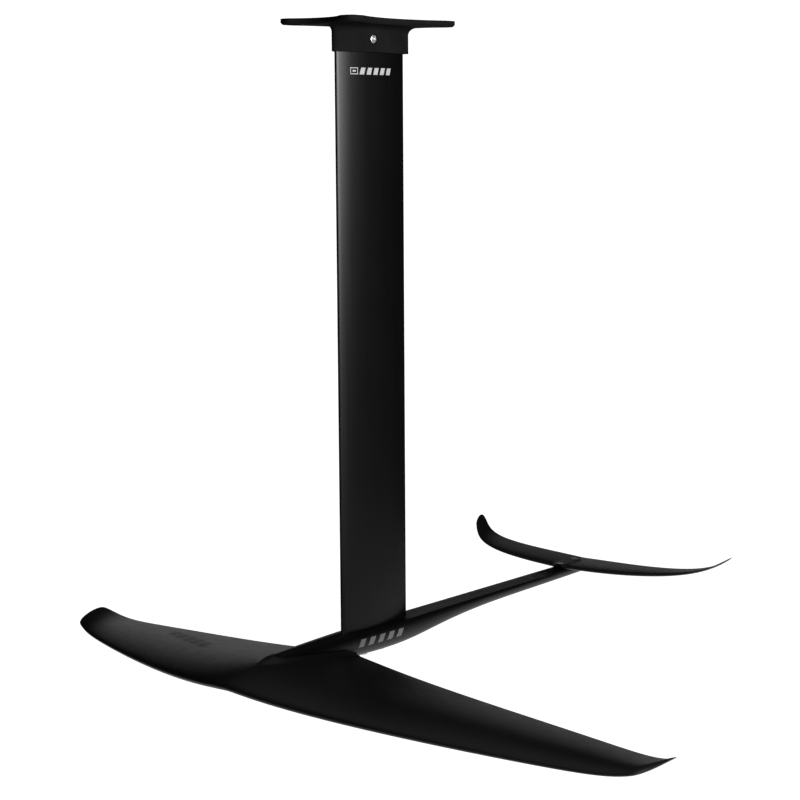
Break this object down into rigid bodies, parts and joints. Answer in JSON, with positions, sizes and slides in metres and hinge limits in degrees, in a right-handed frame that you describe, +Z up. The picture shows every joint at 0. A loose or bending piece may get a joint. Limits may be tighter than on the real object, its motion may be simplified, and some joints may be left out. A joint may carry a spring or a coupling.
{
  "type": "hydrofoil",
  "caption": "Board hydrofoil: a slotted mast plate, hollow mast, slim fuselage, wide swept front wing and small stabiliser with upturned tips.",
  "frame": {"origin": "centre of the mast plate's top face, which meets the board's underside, midway between the four bolt slots", "axes": "+X to port along the wings' span, +Y aft along the fuselage, +Z up along the mast"},
  "size_m": [0.94, 0.7488, 0.8039],
  "materials": {
    "cast_black": "matt black anodised casting",
    "anodised_black": "satin black anodised extrusion",
    "raw_aluminium": "machined",
    "stainless": "stainless steel",
    "fuselage_black": "satin black anodised, machined",
    "carbon_black": "matt black moulded carbon and epoxy",
    "foam": "rigid closed-cell foam",
    "tail_black": "satin black moulded carbon and epoxy",
    "shim_plastic": "moulded plastic"
  },
  "bodies": {
    "root": {"mast_plate": "cast_black", "mast": "anodised_black", "mast_head_insert": "raw_aluminium", "mast_foot_insert": "raw_aluminium", "head_thread_inserts": "stainless", "foot_thread_inserts": "stainless", "plate_screws": "stainless", "collar_side_screws": "stainless", "mast_foot_screws": "stainless", "fuselage": "fuselage_black", "front_wing": "carbon_black", "front_wing_core": "foam", "front_wing_sleeves": "raw_aluminium", "front_wing_screws": "stainless", "nose_thread_inserts": "stainless", "stabiliser": "tail_black", "stabiliser_shim": "shim_plastic", "stabiliser_screws": "stainless", "tail_thread_inserts": "stainless"}
  },
  "joints": []
}
